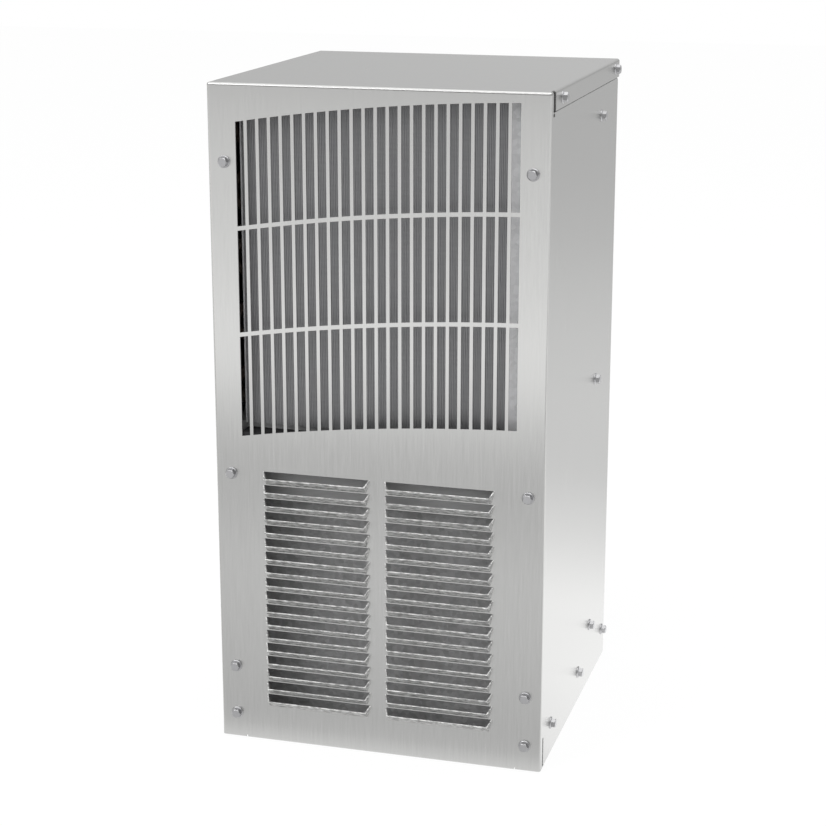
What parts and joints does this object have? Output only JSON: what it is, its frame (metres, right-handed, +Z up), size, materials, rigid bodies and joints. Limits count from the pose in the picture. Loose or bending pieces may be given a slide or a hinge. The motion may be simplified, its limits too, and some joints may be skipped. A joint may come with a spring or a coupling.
{
  "type": "enclosure_air_conditioner",
  "caption": "Narrow side-mounted enclosure air conditioner in brushed steel, slotted coil grille with an arched edge over two banks of louvres, hex cover screws.",
  "frame": {"origin": "On the base plane, in the middle of the rear mounting plane's lower edge.", "axes": "X runs to the right when the louvred front is faced, Y runs back from the front to the enclosure, Z is up."},
  "size_m": [0.2626, 0.2632, 0.508],
  "materials": {
    "cover_steel": "vertical brushed grain",
    "head_zinc": "bright zinc plate",
    "zinc_plate": "zinc plate",
    "galvanised": "mottled galvanised sheet",
    "plain_sheet": "smooth rolled sheet",
    "plain_steel": "ground",
    "fin_aluminium": "mill finish",
    "plain_aluminium": "satin",
    "copper": "drawn copper, slightly dulled",
    "wire_chrome": "plated wire",
    "black_foam": "closed-cell foam",
    "black_rubber": "moulded",
    "black_paint": "satin enamel",
    "black_plastic": "fine texture",
    "black_gloss": "polished",
    "pale_plastic": "moulded",
    "red_plastic": "moulded"
  },
  "bodies": {
    "casing": {"front_cover": "cover_steel", "cover_screws": "head_zinc", "clinch_nuts": "zinc_plate", "base_pan": "galvanised", "right_corner_post": "galvanised", "left_corner_post": "galvanised", "right_top_rail": "galvanised", "left_top_rail": "galvanised", "bulkhead": "galvanised", "bulkhead_insulation": "black_foam", "rear_panel": "cover_steel", "mounting_nuts": "zinc_plate", "mounting_gasket": "black_foam", "fan_deck": "plain_sheet", "deck_seal": "black_foam", "louvre_baffle": "galvanised", "condenser_fins": "fin_aluminium", "condenser_left_plate": "galvanised", "condenser_right_plate": "galvanised", "condenser_tube": "copper", "fan_shroud": "galvanised", "condenser_fan_motor": "black_paint", "condenser_motor_bracket": "galvanised", "compressor": "black_paint", "compressor_base": "black_paint", "compressor_grommets": "black_rubber", "compressor_studs": "zinc_plate", "compressor_terminal_cover": "black_plastic", "discharge_line": "copper", "suction_line": "copper", "liquid_line": "copper", "filter_drier": "copper", "capillary_tube": "copper", "run_capacitor": "plain_aluminium", "capacitor_strap": "galvanised", "evaporator_fins": "fin_aluminium", "evaporator_end_plates": "galvanised", "evaporator_tube": "copper", "drain_tray": "galvanised", "drain_tube": "black_plastic", "evaporator_fan_frame": "black_paint", "outlet_guard": "wire_chrome", "outlet_spacers": "zinc_plate", "outlet_bolts": "zinc_plate", "control_tray": "galvanised", "thermostat_body": "black_plastic", "thermostat_dial": "pale_plastic", "thermostat_bulb": "copper", "reset_switch": "black_plastic", "terminal_block": "pale_plastic", "terminal_screws": "zinc_plate", "power_gland": "black_plastic"},
    "condenser_fan": {"condenser_fan_blades": "fin_aluminium", "condenser_fan_shaft": "plain_steel"},
    "evaporator_fan": {"evaporator_fan_rotor": "black_plastic", "evaporator_fan_shaft": "plain_steel"},
    "knob": {"thermostat_knob": "black_gloss"},
    "button": {"reset_button": "red_plastic"}
  },
  "joints": [
    {"name": "condenser_fan_spin", "type": "hinge", "parent": "casing", "child": "condenser_fan", "pos_m": [-0.006, -0.1905, 0.376], "axis": [0, 1, 0], "continuous": true},
    {"name": "evaporator_fan_spin", "type": "hinge", "parent": "casing", "child": "evaporator_fan", "pos_m": [0, -0.0245, 0.095], "axis": [0, 1, 0], "continuous": true},
    {"name": "thermostat_knob_turn", "type": "hinge", "parent": "casing", "child": "knob", "pos_m": [-0.034, -0.016, 0.225], "axis": [0, 1, 0], "range_deg": [-135, 135]},
    {"name": "reset_button_press", "type": "slide", "parent": "casing", "child": "button", "axis": [0, -1, 0], "range_m": [0, 0.002], "stiffness_N_per_m": 400}
  ]
}
